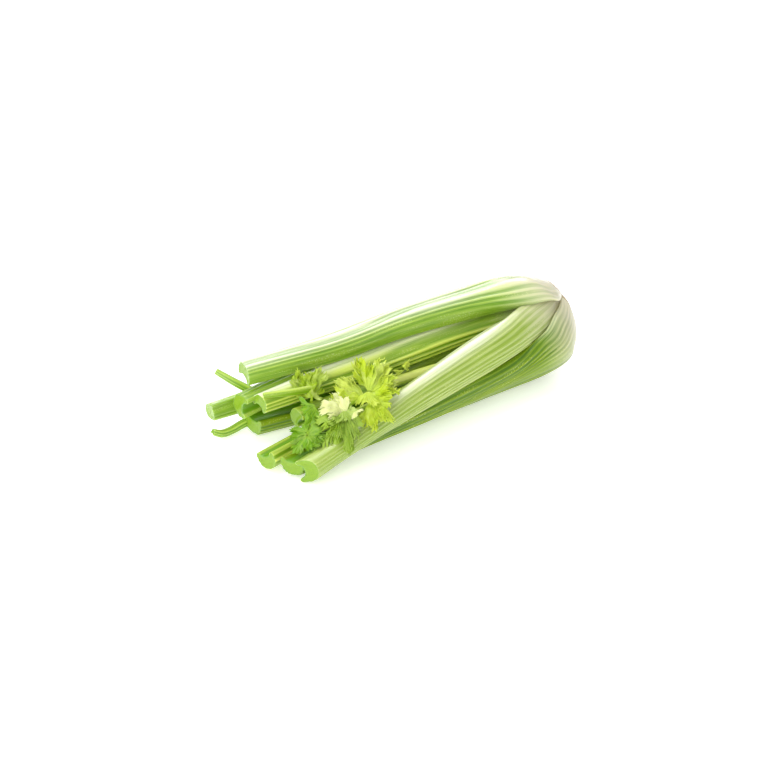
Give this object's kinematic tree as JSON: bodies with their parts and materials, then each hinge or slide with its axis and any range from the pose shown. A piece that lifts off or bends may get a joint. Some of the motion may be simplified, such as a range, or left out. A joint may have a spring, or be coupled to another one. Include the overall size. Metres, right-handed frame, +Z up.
{
  "type": "celery head",
  "caption": "Head of celery lying on its side: ribbed hollow-faced stalks growing from a trimmed root crown, cut tops, and small serrated leaves at the heart.",
  "frame": {"origin": "bottom centre of the bounding box, on the surface the head lies on", "axes": "+X along the head from the cut tops to the root crown, +Z up from the surface, +Y toward the back of the head"},
  "size_m": [0.2964, 0.126, 0.0785],
  "materials": {
    "crown": "waxy, cream white with a dry trimmed cut",
    "outer_stalk": "waxy, ribbed, semi gloss",
    "pale_stalk": "waxy, ribbed, semi gloss, paler",
    "inner_stalk": "waxy, semi gloss",
    "heart_stem": "waxy, pale yellow-green",
    "leaf": "soft serrated leaf, slightly translucent"
  },
  "bodies": {
    "root": {"stalk_top_outer": "outer_stalk", "stalk_front_lower": "outer_stalk", "stalk_back_upper": "outer_stalk", "stalk_back_lower": "outer_stalk", "stalk_bottom_back": "outer_stalk", "stalk_front_cross": "pale_stalk", "stalk_upper_inner": "inner_stalk", "stalk_bottom_middle": "inner_stalk", "stalk_heart_inner": "inner_stalk", "heart_stem": "heart_stem", "side_stem_back": "inner_stalk", "side_stem_low": "inner_stalk", "leaf_stem_upper": "inner_stalk", "root_crown": "crown", "leaf_bright": "leaf", "leaf_pale_curled": "leaf", "leaf_green_low": "leaf", "leaf_small_upper": "leaf", "leaf_heart_scrap": "leaf"}
  },
  "joints": []
}
